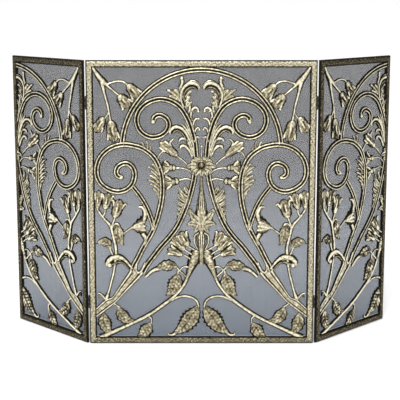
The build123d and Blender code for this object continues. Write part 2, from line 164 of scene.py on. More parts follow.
# Half width of each kind of leaf from base to tip
OUTLINES = {
    "leaf": [(0, .10), (.12, .50), (.3, .92), (.45, 1), (.68, .78), (.86, .38), (1, .03)],
    "bud": [(0, .50), (.08, .80), (.22, .92), (.45, 1), (.70, .95), (.86, .72), (1, .25)],
    "bell": [(0, .55), (.12, .72), (.34, .66), (.58, .74), (.78, .98), (1, 1.35)],
    "fan": [(0, .10), (.15, .26), (.35, .50), (.6, .78), (.85, .97), (1, 1)],
    "lobe": [(0, .55), (.25, .85), (.5, 1), (.75, .8), (.92, .45), (1, .12)],
    "petal": [(0, .75), (.25, 1), (.5, .95), (.75, .62), (.9, .3), (1, .03)],
}

# How ragged the edge of each kind is, as a share of its half width
RAGGED = {"leaf": 0.10, "fan": 0.10, "petal": 0.16, "bud": 0.05, "bell": 0.05, "lobe": 0.05}


def leaf(u0, z0, u1, z1, width, bend=0, kind="leaf", top=5.6, base=1.0):
    """A leaf, bud or bell from base to tip, domed, veined and bowed sideways by bend."""
    start, end = np.array([u0, z0]), np.array([u1, z1])
    length = np.linalg.norm(end - start)
    axis = (end - start) / length
    side = np.array([-axis[1], axis[0]])
    rows, columns = max(LEAF_ROWS, int(length / LEAF_STEP)), LEAF_COLUMNS
    t = np.linspace(0, 1, rows)
    s = np.linspace(-1, 1, columns)
    keys = catmull(OUTLINES[kind], 0.02)[0]
    half = np.interp(t, keys[:, 0], keys[:, 1]) * width * LEAF_GROW / 2
    hook = -HOOK * length * np.sign(bend) * np.clip((t - 0.6) / 0.4, 0, 1) ** 2
    centre = start + t[:, None] * (end - start) + side * (4 * bend * t * (1 - t) + hook)[:, None]
    along = np.gradient(centre, axis=0)
    along /= np.linalg.norm(along, axis=1)[:, None]
    across = np.column_stack([-along[:, 1], along[:, 0]])
    T, S = np.meshgrid(t, s, indexing="ij")
    dome = np.sqrt(np.clip(1 - S**2, 0, 1))
    swell = 0.35 + 0.65 * np.sqrt(half / half.max())[:, None]
    height = base + 1.6 + (top - base - 1.6) * dome * swell
    inner = np.sqrt(np.clip(1 - (S / EDGE) ** 2, 0, 1))
    tone = np.where(np.abs(S) < EDGE, 0.15 + 0.85 * inner, 0.0) * np.clip((1 - T) * 12, 0, 1)
    more_height, more_tone, forward = veining(kind, T, S, length, dome, u0)
    rag = 1 + RAGGED[kind] * np.sin(2 * np.pi * (T * length / 13 + 0.25 * np.sign(S)) + u0) * np.abs(S) ** 2
    spread = across[:, None, :] * (half[:, None] * S * rag)[..., None]
    spot = centre[:, None, :] + spread + axis * forward[..., None]
    return walled(spot, height + more_height, tone + more_tone, base)


def veining(kind, T, S, length, dome, phase):
    """What veins, lips, creases and flutes add to height and tone, and how far they push the edge on.

    T runs from 0 at the base to 1 at the tip, S from -1 to 1 across.
    """
    height, tone, forward = np.zeros_like(T), np.zeros_like(T), np.zeros_like(T)
    if kind == "leaf":
        vein = np.exp(-((S - 0.12 * np.sin(5 * T)) / 0.10) ** 2)
        ribs = 0.5 + 0.5 * np.cos(2 * np.pi * (T * length / 11 - np.abs(S) * 1.1 + 0.2 * np.sign(S)))
        lip = np.exp(-((np.abs(S) - 0.70) / 0.11) ** 2)
        blotch = np.sin(0.41 * T * length + 2.0 * S + phase) * np.sin(3.1 * S + 0.23 * T * length)
        height = 0.6 * lip - 0.9 * vein + 0.5 * ribs * dome
        tone = 0.34 * lip + 0.14 * blotch * (np.abs(S) < 0.6) - 0.35 * vein - 0.20 * (1 - ribs) * dome - 0.11
    if kind in ("bud", "bell"):
        crease = np.exp(-((S - 0.18 * np.sin(4 * T)) / 0.13) ** 2) * (T > 0.25)
        flutes = np.cos(3 * np.pi * S) * (T > 0.3)
        height = 0.35 * flutes * dome - 0.8 * crease * dome
        tone = 0.24 * flutes * dome - 0.60 * crease - 0.12
    if kind == "bell":
        forward = 0.10 * length * (np.abs(S) ** 1.5 - 0.35) * T**3
        tone -= 0.25 * np.exp(-((np.abs(S) - 0.5) / 0.18) ** 2) * (T > 0.75)
    if kind == "fan":
        flutes = np.cos(9 * np.pi * S)
        forward = length * (0.08 * flutes * T**3 + 0.10 * (1 - S**2) * T)
        height = 0.6 * flutes * T
        tone = 0.3 * flutes * T - 0.1
    if kind == "petal":
        rib = np.exp(-(S / 0.16) ** 2)
        lip = np.exp(-((np.abs(S) - 0.66) / 0.12) ** 2)
        height = 0.8 * lip - 0.8 * rib
        tone = 0.30 * lip - 0.50 * rib - 0.08
    if kind == "lobe":
        tone = -0.35 * np.exp(-((S - 0.2) / 0.22) ** 2) * (T < 0.8) - 0.05
    return height, tone, forward


def walled(spot, height, tone, base):
    """Rings and tones of a surface whose two long edges drop to the base."""
    rows, columns = height.shape
    rings = np.empty((rows, columns + 2, 3))
    rings[:, 1:-1, 0], rings[:, 1:-1, 1], rings[:, 1:-1, 2] = spot[..., 0], height, spot[..., 1]
    rings[:, 0], rings[:, -1] = rings[:, 1], rings[:, -2]
    rings[:, 0, 1] = rings[:, -1, 1] = base
    tones = np.zeros((rows, columns + 2))
    tones[:, 1:-1] = tone
    return rings, np.clip(tones, 0, 1)


def turned(u, z, profile, sides, lobes=0, depth=0.0):
    """A round boss or cup facing forwards. Profile rows are (radius, height, tone)."""
    turn = np.linspace(0, 2 * np.pi, sides, endpoint=False)
    radius, height, tone = np.array(profile).T
    r = radius[:, None] * (1 + depth * np.cos(lobes * turn))
    rings = np.empty((len(profile), sides, 3))
    rings[..., 0] = u + r * np.cos(turn)
    rings[..., 2] = z + r * np.sin(turn)
    rings[..., 1] = height[:, None]
    return rings, np.repeat(tone[:, None], sides, axis=1)


def sheet_between(low, high, rows=90, columns=25):
    """The pebbled band between two edge curves, with raised borders."""
    pick = np.linspace(0, 1, rows)
    edges = []
    for points in (low, high):
        line = catmull(points, BAND_STEP)[0]
        at = np.linspace(0, 1, len(line))
        edges.append(np.column_stack([np.interp(pick, at, line[:, k]) for k in (0, 1)]))
    s = np.linspace(0, 1, columns)
    spot = edges[0][:, None] + (edges[1] - edges[0])[:, None] * s[:, None]
    rim = np.exp(-((s - 0.14) / 0.09) ** 4) + np.exp(-((s - 0.86) / 0.09) ** 4)
    pebble = stipple(spot[..., 0], spot[..., 1])
    inside = (s > 0.30) & (s < 0.70)
    height = 4.4 + 2.4 * rim + 0.9 * pebble * inside
    tone = 0.84 * inside + rim + 0.26 * pebble * inside
    tone[:, 0] = tone[:, -1] = 0.1
    return walled(spot, height, tone, BACK)


def stipple(u, z):
    """Irregular pebbles about 5 mm apart, between -1 and 1."""
    warp = 0.9 * np.sin(0.37 * z + 1.3 * np.sin(0.21 * u))
    return np.sin(1.25 * u + warp) * np.sin(1.22 * z + 1.1 * np.sin(0.29 * u) + warp)


def pebbled(piece, amount, tone_amount):
    """The same piece with pebbles over its front."""
    rings, tones = piece
    bumps = stipple(rings[..., 0], rings[..., 2]) * (rings[..., 1] > 3)
    rings[..., 1] += amount * bumps
    return rings, np.clip(tones - 0.12 * (rings[..., 1] > 3) + tone_amount * bumps, 0, 1)


# ---------------------------------------------------------------- the pattern

# Centre lines of the scrolls, from the band at the foot to the ball at the eye
S_SCROLL = [(173, 214), (160, 238), (138, 268), (120, 292), (92, 324), (70, 355), (50, 398), (35, 442),
            (24, 485), (18, 520), (15, 548), (17, 578), (20, 606), (27, 634), (39, 668), (61, 703), (90, 722),
            (122, 727), (155, 716), (178, 694), (186, 668), (180, 643), (165, 626), (142, 617), (117, 622),
            (100, 636), (94, 655), (101, 672), (119, 681), (134, 675), (138, 662)]
C_SCROLL = [(205, 217), (197, 240), (190, 252), (170, 292), (144, 338), (131, 370), (124, 395), (116, 431),
            (113, 474), (118, 517), (136, 557), (165, 582), (192, 592), (222, 596), (252, 590), (277, 575),
            (296, 550), (303, 517), (295, 488), (274, 468), (246, 458), (220, 463), (201, 480), (193, 506),
            (197, 526), (208, 538), (222, 541), (239, 533), (246, 518), (242, 505), (231, 500)]
# The branch out of the C scroll, the edges of the pebbled band, and the web where the scrolls fork
BRANCH = [(199, 472), (177, 443), (159, 411), (147, 379), (139, 352)]
BAND_TOP = [(309.5, 110), (282, 136), (262, 144), (240, 178), (216, 215), (211, 224)]
BAND_LOW = [(309.5, 79), (257, 120), (215, 164), (180, 200), (167, 216)]
FORK_WEB = [(165, 247, 4.5), (171, 232, 5), (177, 221, 6), (185, 216, 6.5), (191, 223, 6), (191, 234, 5),
            (188, 248, 4.5)]
ARCH_R, ARCH_Z, ROSE_Z = 229.0, 581.5, 537.0


def scrollwork():
    """Both scrolls with their branch, band and curled leaves, and the round arch."""
    wide = double_ridge(SCROLL_W / 2, 1.7)
    narrow = double_ridge(SCROLL_W / 2, 1.2, floor=3.6, floor_tone=0.1)
    arch_line = [(ARCH_R * math.sin(a), ARCH_Z + ARCH_R * math.cos(a)) for a in np.linspace(0, 1.5, 16)]
    pieces = {
        "scrollwork": [
            sweep(S_SCROLL, wide, SCROLL_W, step=SCROLL_STEP, ends=(5, 7)),
            sweep(C_SCROLL, narrow, SCROLL_W, step=SCROLL_STEP, ends=(5, 7)),
            sweep(BRANCH, double_ridge(BRANCH_W / 2, 1.4, 6.6), BRANCH_W, step=SCROLL_STEP),
            sheet_between(BAND_LOW, BAND_TOP),
            sweep(FORK_WEB, STEM, rise=1.2),
            turned(*S_SCROLL[-1], bulb_profile(7.5, 6.8), 20),
            turned(*C_SCROLL[-1], bulb_profile(7.5, 6.8), 20),
            sweep([(139, 372, 5), (140, 356, 9), (141, 344, 12)], STEM, rise=0.95),
        ],
        "arch": [sweep(arch_line, narrow, SCROLL_W, step=SCROLL_STEP)],
    }
    pieces["scrollwork"] += edge_leaves()
    return pieces


def edge_leaves():
    """Curled lobes along the inner edges of the scrolls, and the plume of fronds beside the rosette."""
    lobes = [
        (124, 516, 143, 542, 7, 2), (124, 508, 155, 534, 8, 3), (122, 496, 147, 520, 7, 2),
        (121, 484, 151, 508, 8, 3), (120, 472, 155, 495, 9, 3), (120, 461, 150, 483, 8, 3),
        (121, 448, 141, 469, 8, 2), (122, 438, 131, 456, 6, 1),
        (150, 575, 146, 592, 5, 1), (157, 579, 157, 609, 6, 2), (164, 582, 173, 607, 6, 2),
    ]
    spines = [[(120, 536, 4), (127, 508, 8), (126, 468, 8), (123, 436, 4)],
              [(33, 464, 5), (44, 430, 12), (58, 397, 11), (70, 372, 5)]]
    plume = [(21, 556, 7), (31, 590, 9), (42, 618, 11), (56, 637, 13), (72, 643, 14), (85, 636, 14),
             (87, 626, 11)]
    fronds = [
        [(25, 562, 6), (37, 600, 7), (47, 612, 7), (60, 612, 7), (64, 605, 5)],
        [(26, 560, 6), (36, 580, 7), (47, 591, 8), (58, 591, 8), (61, 583, 6)],
        [(26, 592, 5), (36, 626, 6), (50, 648, 5), (58, 656, 3)],
        [(24, 590, 4), (30, 622, 5), (38, 640, 4), (46, 660, 2)],
    ]
    blades = [(36, 452, 50, 484, 10, -3), (40, 438, 66, 474, 12, -5), (44, 430, 70, 454, 11, -4),
              (48, 416, 72, 434, 11, -3), (53, 402, 73, 416, 9, -2), (60, 388, 72, 400, 8, -1)]
    made = [leaf(*v, kind="lobe", top=5.4) for v in lobes]
    made += [leaf(*v, kind="petal", top=5.4) for v in blades]
    made += [sweep(s, STEM, rise=0.7) for s in spines]
    made += [sweep(s, STEM, rise=0.9, ends=(0, 3)) for s in fronds]
    made.append(sweep(plume, CURL_BACK, rise=1.15, ends=(0, 7)))
    return made


def bulb_profile(radius, top):
    """A round curl end."""
    return [(radius, 1, 0), (radius, 3.5, 0), (0.86 * radius, 0.75 * top, 0.3),
            (0.6 * radius, 0.92 * top, 0.9), (0.3 * radius, 0.99 * top, 1), (0.1, top, 1)]


def flower(u0, z0, u1, z1, width, flare=1.0, kind="bud", top=6.6):
    """A cup with two dark eyelets, a swelling body and two petals that curl outwards."""
    base, tip = np.array([u0, z0], float), np.array([u1, z1], float)
    length = np.linalg.norm(tip - base)
    axis = (tip - base) / length
    side = np.array([-axis[1], axis[0]])
    radius = (0.46 if kind == "bell" else 0.40) * width
    middle = base + axis * radius
    rings, tones = turned(*middle, bulb_profile(radius, top), 24)
    for sign in (-1, 1):
        eye = middle + side * sign * 0.42 * radius + axis * 0.25 * radius
        near = np.exp(-((rings[..., 0] - eye[0]) ** 2 + (rings[..., 2] - eye[1]) ** 2) / (0.30 * radius) ** 2)
        rings[..., 1] -= 2.2 * near * (rings[..., 1] > 4)
        tones = np.clip(tones - 1.2 * near, 0, 1)
    neck = base + axis * (1.2 if kind == "bell" else 0.5) * radius
    made = [(rings, tones), leaf(*neck, *tip, width, 0, kind, top)]
    for sign in (-1, 1):
        aside = side * sign * width
        path = [neck + axis * 0.25 * length + 0.22 * aside,
                base + axis * 0.66 * length + 0.50 * aside,
                base + axis * 0.84 * length + (0.50 + 0.22 * flare) * aside,
                base + axis * 0.78 * length + (0.52 + 0.40 * flare) * aside]
        curled = [(*q, w) for q, w in zip(path, (7, 8, 6, 3))]
        made.append(sweep(curled, STEM, rise=0.95, ends=(0, 2)))
    return made


def corner_spray():
    """A blade from the top corner that forks into stems with four buds."""
    blade = [(309.5, 817.5, 6), (296, 797, 11), (282, 779, 14), (268, 767, 10)]
    stems = [
        [(270, 768, 7), (256, 774, 5), (240, 778, 5), (222, 776, 5), (208, 766, 5)],
        [(270, 767, 7), (250, 750, 5), (232, 735, 5)],
        [(284, 780, 13), (277, 745, 7), (268, 710, 6), (264, 686, 6), (259, 658, 5)],
        [(264, 692, 5), (272, 677, 4), (282, 667, 4)],
    ]
    buds = [(212, 771, 178, 731, 26, 0.5), (238, 741, 205, 702, 28, 0.6), (261, 668, 250, 602, 28, 0.4),
            (279, 678, 303, 630, 24, 0.3)]
    made = [sweep(blade, STEM, ends=(0, 6))] + [sweep(s, STEM, rise=0.9) for s in stems]
    for values in buds:
        made += flower(*values)
    return made


def side_vine():
    """The vine beside the stile, with three buds, a fluted trumpet, leaves and a curled foot."""
    stems = [
        [(281, 133, 12), (272, 160, 6), (264, 190, 6), (256, 224, 6), (251, 262, 8), (250, 290, 8),
         (257, 325, 7), (265, 356, 8), (282, 377, 6), (298, 399, 6), (304, 412, 5)],
        [(263, 352, 6), (256, 368, 5), (250, 385, 5)],
        [(288, 384, 6), (281, 394, 5), (279, 410, 4)],
        [(262, 350, 6), (252, 362, 5), (242, 361, 6), (238, 350, 6)],
        [(232, 330, 5), (220, 339, 4), (203, 351, 5)],
        [(256, 262, 5), (263, 278, 5), (268, 292, 5)],
        [(284, 137, 7), (294, 150, 4), (304, 153, 3)],
    ]
    tendrils = [[(168, 372, 11), (163, 392, 11), (170, 410, 8), (184, 413, 4)],
                [(170, 334, 13), (162, 316, 10), (167, 302, 7), (176, 297, 4)]]
    calyx = [(204, 226, 9), (224, 249, 13), (241, 257, 20), (258, 254, 23), (270, 245, 19), (275, 236, 11)]
    made = [sweep(s, STEM, rise=0.9) for s in stems]
    made += [sweep(s, STEM, rise=0.95, ends=(0, 3)) for s in tendrils]
    made.append(sweep(calyx, CURL_BACK, rise=1.15, ends=(0, 7)))
    made.append(turned(268, 238, bulb_profile(8.5, 7.6), 20))
    for values in ((253, 378, 235, 436, 26), (280, 404, 269, 456, 22), (302, 406, 297, 463, 17, 0.4)):
        made += flower(*values)
    made += [leaf(241, 362, 231, 297, 27, 5, "leaf", 6.2),
             leaf(206, 351, 165, 356, 47, 0, "fan", 6.6), leaf(264, 288, 306, 306, 24, 12, "leaf", 6.0),
             leaf(290, 148, 303, 138, 8, 2, "leaf", 5.6), leaf(236, 254, 272, 262, 9, 3, "lobe", 7.0)]
    return made


def base_vine():
    """The stem from the bottom corner to the trunk, with its leaves and three flowers."""
    main = [(300, 18, 12), (284, 24, 12), (224, 52, 9), (156, 87, 9), (90, 135, 9), (65, 160, 8),
            (47, 187, 8), (38, 212, 9)]
    trunk = [(44, 196, 8), (36, 217, 12), (27, 243, 20), (19, 262, 25), (14, 286, 19)]
    thin = [
        [(257, 122, 5), (248, 115, 4), (240, 111, 4)],
        [(157, 84, 5), (148, 75, 5), (149, 60, 4)],
        [(88, 132, 7), (66, 142, 6), (45, 144, 6), (26, 139, 6), (13, 128, 6), (8, 113, 6)],
        [(66, 44, 12), (76, 32, 10), (87, 25, 7), (97, 27, 5), (99, 34, 3)],
        [(64, 222, 4), (56, 231, 4), (46, 234, 4), (31, 229, 5)],
        [(78, 238, 5), (62, 220, 5), (44, 203, 5), (38, 196, 5)],
        [(68, 222, 5), (69, 212, 5)],
        [(39, 296, 4), (20, 284, 5)],
        [(48, 284, 4), (24, 268, 5)],
        [(54, 271, 4), (34, 258, 5), (24, 246, 6)],
    ]
    leaves = [
        (244, 113, 196, 64, 30, 12), (287, 94, 266, 25, 32, 8), (151, 63, 188, 16, 32, -4),
        (8, 116, 78, 24, 42, -5), (70, 233, 134, 226, 28, 8), (69, 214, 100, 143, 36, -6),
    ]
    bells = [(38, 294, 62, 340, 23, 0.8), (48, 282, 84, 324, 21, 0.8), (54, 268, 100, 288, 19, 0.8)]
    curl = [(126, 228, 12), (142, 222, 9), (154, 212, 8), (165, 202, 7)]
    made = [sweep(main, STEM), pebbled(sweep(trunk, STEM, rise=1.1, ends=(0, 8)), 0.8, 0.4)]
    made += [sweep(s, STEM, rise=0.85) for s in thin]
    made += [leaf(*v, top=6.2) for v in leaves]
    for values in bells:
        made += flower(*values)
    made.append(sweep(curl, STEM, rise=0.9, ends=(0, 4)))
    return made


def bud_stems():
    """The bud and two bells beside the rosette."""
    stems = [
        [(38, 535, 4), (56, 552, 4), (72, 563, 5)],
        [(27, 512, 5), (37, 521, 4), (56, 527, 4), (73, 527, 5)],
        [(24, 491, 5), (43, 496, 4), (64, 492, 5)],
    ]
    curls = [[(84, 563, 5), (96, 572, 4), (109, 576, 4), (119, 569, 4), (126, 556, 4)],
             [(78, 575, 6), (88, 591, 7), (90, 602, 6), (80, 613, 4)]]
    made = [sweep(s, STEM, rise=0.85) for s in stems]
    made += [sweep(s, STEM, rise=0.85, ends=(0, 2)) for s in curls]
    flowers = [(68, 562, 121, 603, 22, 0.2), (72, 527, 113, 530, 23, 1.0, "bell"),
               (63, 490, 108, 484, 25, 0.9, "bell")]
    for values in flowers:
        made += flower(*values)
    made.append(leaf(79, 570, 122, 604, 17, 0, "lobe", 8.2))
    return made


def crest():
    """Half of the facing volutes under the arch, with the small curls and spikes below them."""
    volute = [(48, 704, 9), (55, 728, 10), (54, 745, 12), (44, 761, 14), (28, 768, 15), (14, 764, 14),
              (9, 753, 11)]
    curls = [
        [(55, 742, 9), (59, 760, 9), (55, 774, 8), (56, 786, 9)],
        [(46, 704, 7), (40, 722, 7), (39, 738, 7), (30, 748, 5)],
        [(36, 690, 6), (33, 704, 6), (36, 716, 5)],
        [(31, 674, 6), (28, 693, 7), (20, 702, 7), (11, 700, 6), (8, 692, 5)],
        [(25, 648, 6), (22, 661, 6), (16, 670, 6), (8, 671, 4)],
        [(21, 626, 6), (16, 640, 6), (9, 645, 5), (5, 639, 4)],
        [(20, 604, 5), (13, 618, 5), (6, 616, 4)],
        [(42, 773, 5), (25, 779, 6), (11, 773, 5), (2, 763, 4)],
    ]
    balls = [(56, 787, 6), (30, 749, 4), (36, 717, 4), (9, 692, 4.5), (8, 671, 4), (6, 639, 3.5), (7, 616, 3)]
    spikes = [(56, 718, 98, 758, 13, 3), (58, 722, 94, 738, 11, 2), (54, 730, 78, 756, 12, 2),
              (55, 740, 64, 762, 9, 1), (44, 704, 26, 720, 9, 1), (46, 720, 31, 736, 9, 1),
              (46, 734, 30, 752, 9, 1), (26, 664, 31, 682, 5, 1), (22, 640, 27, 656, 5, 1),
              (34, 694, 18, 690, 4, 0)]
    made = [sweep(volute, CURL, rise=1.15, ends=(0, 7))]
    made += [turned(u, z, bulb_profile(r, 6.0), 16) for u, z, r in balls]
    made += [sweep(s, STEM, rise=0.85, ends=(0, 2)) for s in curls]
    return made + [leaf(*v, kind="lobe") for v in spikes]


def both_sides(make, *values, **more):
    """The same piece on both sides of the centre line."""
    one, two = make(*values, **more), make(*values, **more)
    two[0][..., 0] *= -1
    return [one, two]


def finial():
    """The fluted lily under the rosette."""
    across = np.linspace(-1, 1, 25)
    dome = np.sqrt(np.clip(1 - across**2, 0, 1))

    def fluted(count, top, shade):
        """A rounded profile with ribs; count is how many, shade how bright."""
        ribs = np.cos(count * np.pi * across)
        rows = [(a, 1.6 + top * d + 0.6 * r * d, shade * np.clip(1.1 * d - 0.3 + 0.55 * r * d, 0, 1))
                for a, d, r in zip(across, dome, ribs)]
        return [(-1, BACK, 0.0)] + rows + [(1, BACK, 0.0)]

    shaft = [(0, 530, 8), (0, 500, 9), (0, 470, 12), (0, 452, 17), (0, 433, 24), (0, 415, 30), (0, 398, 33)]
    tulip = [(0, 408, 24), (0, 398, 38), (0, 386, 34), (0, 374, 26), (0, 362, 22), (0, 340, 18)]
    neck = [(0, 343, 19), (0, 336, 23), (0, 331, 19)]
    bulb = [(0, 332, 22), (0, 324, 33), (0, 312, 31), (0, 300, 25), (0, 288, 20), (0, 270, 15),
            (0, 240, 13)]
    parts = [(shaft, 5, 4.4, 0.95), (tulip, 4, 5.2, 0.9), (neck, 2, 5.8, 0.9), (bulb, 5, 5.0, 1.0)]
    petals = [(4, 366, 36, 404, 20, -3), (27, 399, 41, 398, 10, 3), (10, 359, 43, 362, 17, 4),
              (7, 360, 22, 341, 14, -3)]
    made = []
    for line, count, top, shade in parts:
        made.append(sweep([(u, z, w / STEM_GROW) for u, z, w in line], fluted(count, top, shade)))
    for values in petals:
        made += both_sides(leaf, *values, kind="petal", top=7.8)
    made += both_sides(sweep, [(8, 336, 4), (20, 326, 4), (20, 306, 4), (11, 286, 4)], STEM, rise=0.95)
    made += [leaf(0, 356, 0, 420, 20, 0, "petal", 8.0), leaf(0, 366, 0, 336, 14, 0, "petal", 8.2)]
    return made


def rosette():
    """Ragged petals round a cup; angles are in degrees above the horizontal."""
    petals = [(-6, 12, 45, 15), (-34, 13, 38, 14), (-62, 13, 37, 13), (22, 12, 35, 12), (47, 12, 31, 10),
              (72, 10, 27, 8)]
    cup = [(16, 7.0, 0), (17, 8.6, 0), (16, 11.0, .45), (13.5, 11.6, .6), (11, 9.4, .2), (8.5, 9.2, .2),
           (7.5, 11.2, .4), (5, 12.4, .55), (0.1, 12.8, .7)]
    made = []
    for angle, near, far, width in petals:
        turn = (math.cos(math.radians(angle)), math.sin(math.radians(angle)))
        spot = [reach * t + z for reach in (near, far) for t, z in zip(turn, (0, ROSE_Z))]
        made += both_sides(leaf, *spot, width * 1.1, 2, kind="petal", top=11.0, base=7.0)
    made.append(leaf(0, ROSE_Z - 12, 0, ROSE_Z - 36, 14, 0, "petal", 11.2, 7.0))
    made.append(turned(0, ROSE_Z, cup, 40, 9, 0.07))
    made.append(sweep([(0, 560, 4), (0, 575, 3), (0, 588, 3)], STEM, rise=1.2, ends=(0, 2)))
    made.append(turned(0, 591, bulb_profile(4, 8.2), 14))
    return made


# ---------------------------------------------------------------- meshes

def to_mesh(name, pieces):
    """One mesh from closed lofted pieces, with the tone of each point kept as an attribute."""
    verts, faces, tones = [], [], []
    start = 0
    for rings, tone in pieces:
        n, m = rings.shape[:2]
        index = start + np.arange(n * m).reshape(n, m)
        across = np.roll(index, -1, axis=1)
        quads = np.stack([index[:-1], across[:-1], across[1:], index[1:]], axis=-1).reshape(-1, 4)
        faces += quads.tolist() + [index[0].tolist(), index[-1][::-1].tolist()]
        verts.append(rings.reshape(-1, 3))
        tones.append(tone.reshape(-1))
        start += n * m
    mesh = bpy.data.meshes.new(name)
    mesh.from_pydata(np.vstack(verts).tolist(), [], faces)
    tone_layer = mesh.attributes.new("tone", "FLOAT", "POINT")
    tone_layer.data.foreach_set("value", np.concatenate(tones).astype(np.float32))
    return mesh


def face_outwards(mesh):
    """Turns every face of a closed mesh to the outside."""
    bm = bmesh.new()
    bm.from_mesh(mesh)
    bmesh.ops.recalc_face_normals(bm, faces=bm.faces)
    bm.to_mesh(mesh)
    bm.free()


def trimmed(mesh, u_low):
    """A copy cut to the opening of the frame."""
    bm = bmesh.new()
    bm.from_mesh(mesh)
    bmesh.ops.recalc_face_normals(bm, faces=bm.faces)
    planes = [((u_low, 0, 0), (-1, 0, 0)), ((OPEN_U + TUCK, 0, 0), (1, 0, 0)),
              ((0, 0, OPEN_LOW - TUCK), (0, 0, -1)), ((0, 0, OPEN_HIGH + TUCK), (0, 0, 1))]
    for point, outward in planes:
        geometry = bm.verts[:] + bm.edges[:] + bm.faces[:]
        cut = bmesh.ops.bisect_plane(bm, geom=geometry, plane_co=point, plane_no=outward, clear_outer=True)
        edges = [e for e in cut["geom_cut"] if isinstance(e, bmesh.types.BMEdge)]
        if edges:
            bmesh.ops.holes_fill(bm, edges=edges, sides=0)
    out = bpy.data.meshes.new(mesh.name)
    bm.to_mesh(out)
    bm.free()
    return out


def fold(side):
    """The turn that takes a wing from flat to its resting fold, in millimetres."""
    centre = Vector((side * HINGE_X, HINGE_Y, 0))
    turn = Matrix.Rotation(math.radians(side * REST_FOLD), 4, "Z")
    return Matrix.Translation(centre) @ turn @ Matrix.Translation(-centre)


def pattern_place(sign, shift, turn):
    """Where a half pattern goes: u runs along sign * X from shift, h points to the front."""
    flat = Matrix(((sign, 0, 0, shift), (0, -1, 0, BAR_D), (0, 0, 1, 0), (0, 0, 0, 1)))
    return Matrix.Scale(METRES, 4) @ turn @ flat


def join_copies(name, mesh, places):
    """One mesh from a mesh placed one or more times."""
    bm = bmesh.new()
    for place in places:
        copy = mesh.copy()
        copy.transform(place)
        if place.determinant() < 0:
            copy.flip_normals()
        bm.from_mesh(copy)
        bpy.data.meshes.remove(copy)
    out = bpy.data.meshes.new(name)
    bm.to_mesh(out)
    bm.free()
    out.set_sharp_from_angle(angle=math.radians(SHARP_ANGLE))
    return out


def add(name, mesh, material, body, slot, *nodes):
    """Shows a mesh as part of a body, in place of CAD nodes."""
    thing = bpy.data.objects.new(name, mesh)
    bpy.context.scene.collection.objects.link(thing)
    mesh.materials.clear()
    mesh.materials.append(material)
    for polygon in mesh.polygons:
        polygon.use_smooth = True
    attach(thing, body)
    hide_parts(*nodes)
    return thing


def bar_mesh(name, length, place):
    """A mitred, hammered bar along X with its outer edge on z = 0."""
    s = np.linspace(-1, 1, BAR_COLUMNS)
    a = (s + 1) / 2 * BAR_W
    stations = int(length / BAR_STEP)
    t = np.linspace(0, 1, stations)
    T, S = np.meshgrid(t, s, indexing="ij")
    x = a + (length - 2 * a) * T
    front = BAR_D * (1 - np.abs(S) ** 3.2) ** 0.6
    waves = (np.sin(0.43 * x + 1.7 * np.sin(0.11 * x)) * np.sin(0.55 * a + 1.3 * np.sin(0.07 * x))
             + 0.7 * np.sin(0.83 * x + 0.9 * a) * np.sin(0.71 * a - 0.31 * x))
    front = np.maximum(front - 0.28 * (1 + 0.55 * waves) * (np.abs(S) < 0.9), 0.4)
    rings = np.empty((stations, len(s), 3))
    rings[..., 0], rings[..., 1], rings[..., 2] = x, BAR_D - front, a
    rings[:, 0, 1] = rings[:, -1, 1] = BAR_D
    # The tone is dark along both long edges: the dark of the finish together with painted shade where the
    # rounded edges turn away and meet the mesh; the waves add hammered mottling
    tone = np.clip(1.6 * (1 - np.abs(S) ** 2.2) ** 0.9 - 0.6, 0, 0.66) + 0.10 * waves
    mesh = to_mesh(name, [(rings, np.clip(tone, 0, 1))])
    face_outwards(mesh)
    return join_copies(name, mesh, [Matrix.Scale(METRES, 4) @ place])


def frame_bars(x_low, x_high, names, body, turn):
    """The four bars of a panel between two outer edges; names are bottom, top, low-x and high-x."""
    width = x_high - x_low
    high = Matrix.Translation((0, 0, PANEL_H)) @ Matrix.Scale(-1, 4, (0, 0, 1))
    upright = Matrix(((0, 0, -1, 0), (0, 1, 0, 0), (1, 0, 0, 0), (0, 0, 0, 1)))
    spots = [
        (width, Matrix.Translation((x_low, 0, 0))),
        (width, Matrix.Translation((x_low, 0, 0)) @ high),
        (PANEL_H, Matrix.Translation((x_low, 0, 0)) @ Matrix.Scale(-1, 4, (1, 0, 0)) @ upright),
        (PANEL_H, Matrix.Translation((x_high, 0, 0)) @ upright),
    ]
    for node, (length, spot) in zip(names, spots):
        # The wing bars and the centre's bottom rail take gold that is darkened as painted shade
        finish_and_shade = GOLD_WING_FRAME_SHADED if "wing" in node else GOLD_FOOT_SHADED if "bottom" in node else GOLD_FRAME
        add(node + "_cast", bar_mesh(node, length, turn @ spot), finish_and_shade, body, "aged_gold", node)


def wire_mesh(x_low, x_high, pitch, node, body, turn):
    """Straight wires in two layers: uprights in front, rows behind."""
    low, high = x_low + WIRE_MARGIN, x_high - WIRE_MARGIN
    angles = np.arange(WIRE_SIDES) * 2 * np.pi / WIRE_SIDES
    ring_a, ring_b = WIRE_R * np.cos(angles), WIRE_R * np.sin(angles)
    pieces = []
    for x in np.arange(low, high, pitch):
        y = MESH_Y - WIRE_R + ring_b
        pieces.append([(x + ring_a, y, np.full(WIRE_SIDES, z)) for z in (MESH_FOOT, MESH_HEAD)])
    for z in np.arange(MESH_FOOT + 1, MESH_HEAD, WIRE_PITCH):
        y = MESH_Y + WIRE_R + ring_a
        pieces.append([(np.full(WIRE_SIDES, x), y, z + ring_b) for x in (low, high)])
    shaped = [(np.array(p).transpose(0, 2, 1), np.ones((2, WIRE_SIDES))) for p in pieces]
    mesh = to_mesh(node, shaped)
    face_outwards(mesh)
    wires = join_copies(node, mesh, [Matrix.Scale(METRES, 4) @ turn])
    add(node + "_wires", wires, MESH_METAL, body, "black_mesh", node)


# ---------------------------------------------------------------- materials

def new_material(name):
    """A node material, its nodes, its links and its shader."""
    material = bpy.data.materials.new(name)
    material.use_nodes = True
    nodes, links = material.node_tree.nodes, material.node_tree.links
    return material, nodes, links, nodes["Principled BSDF"]


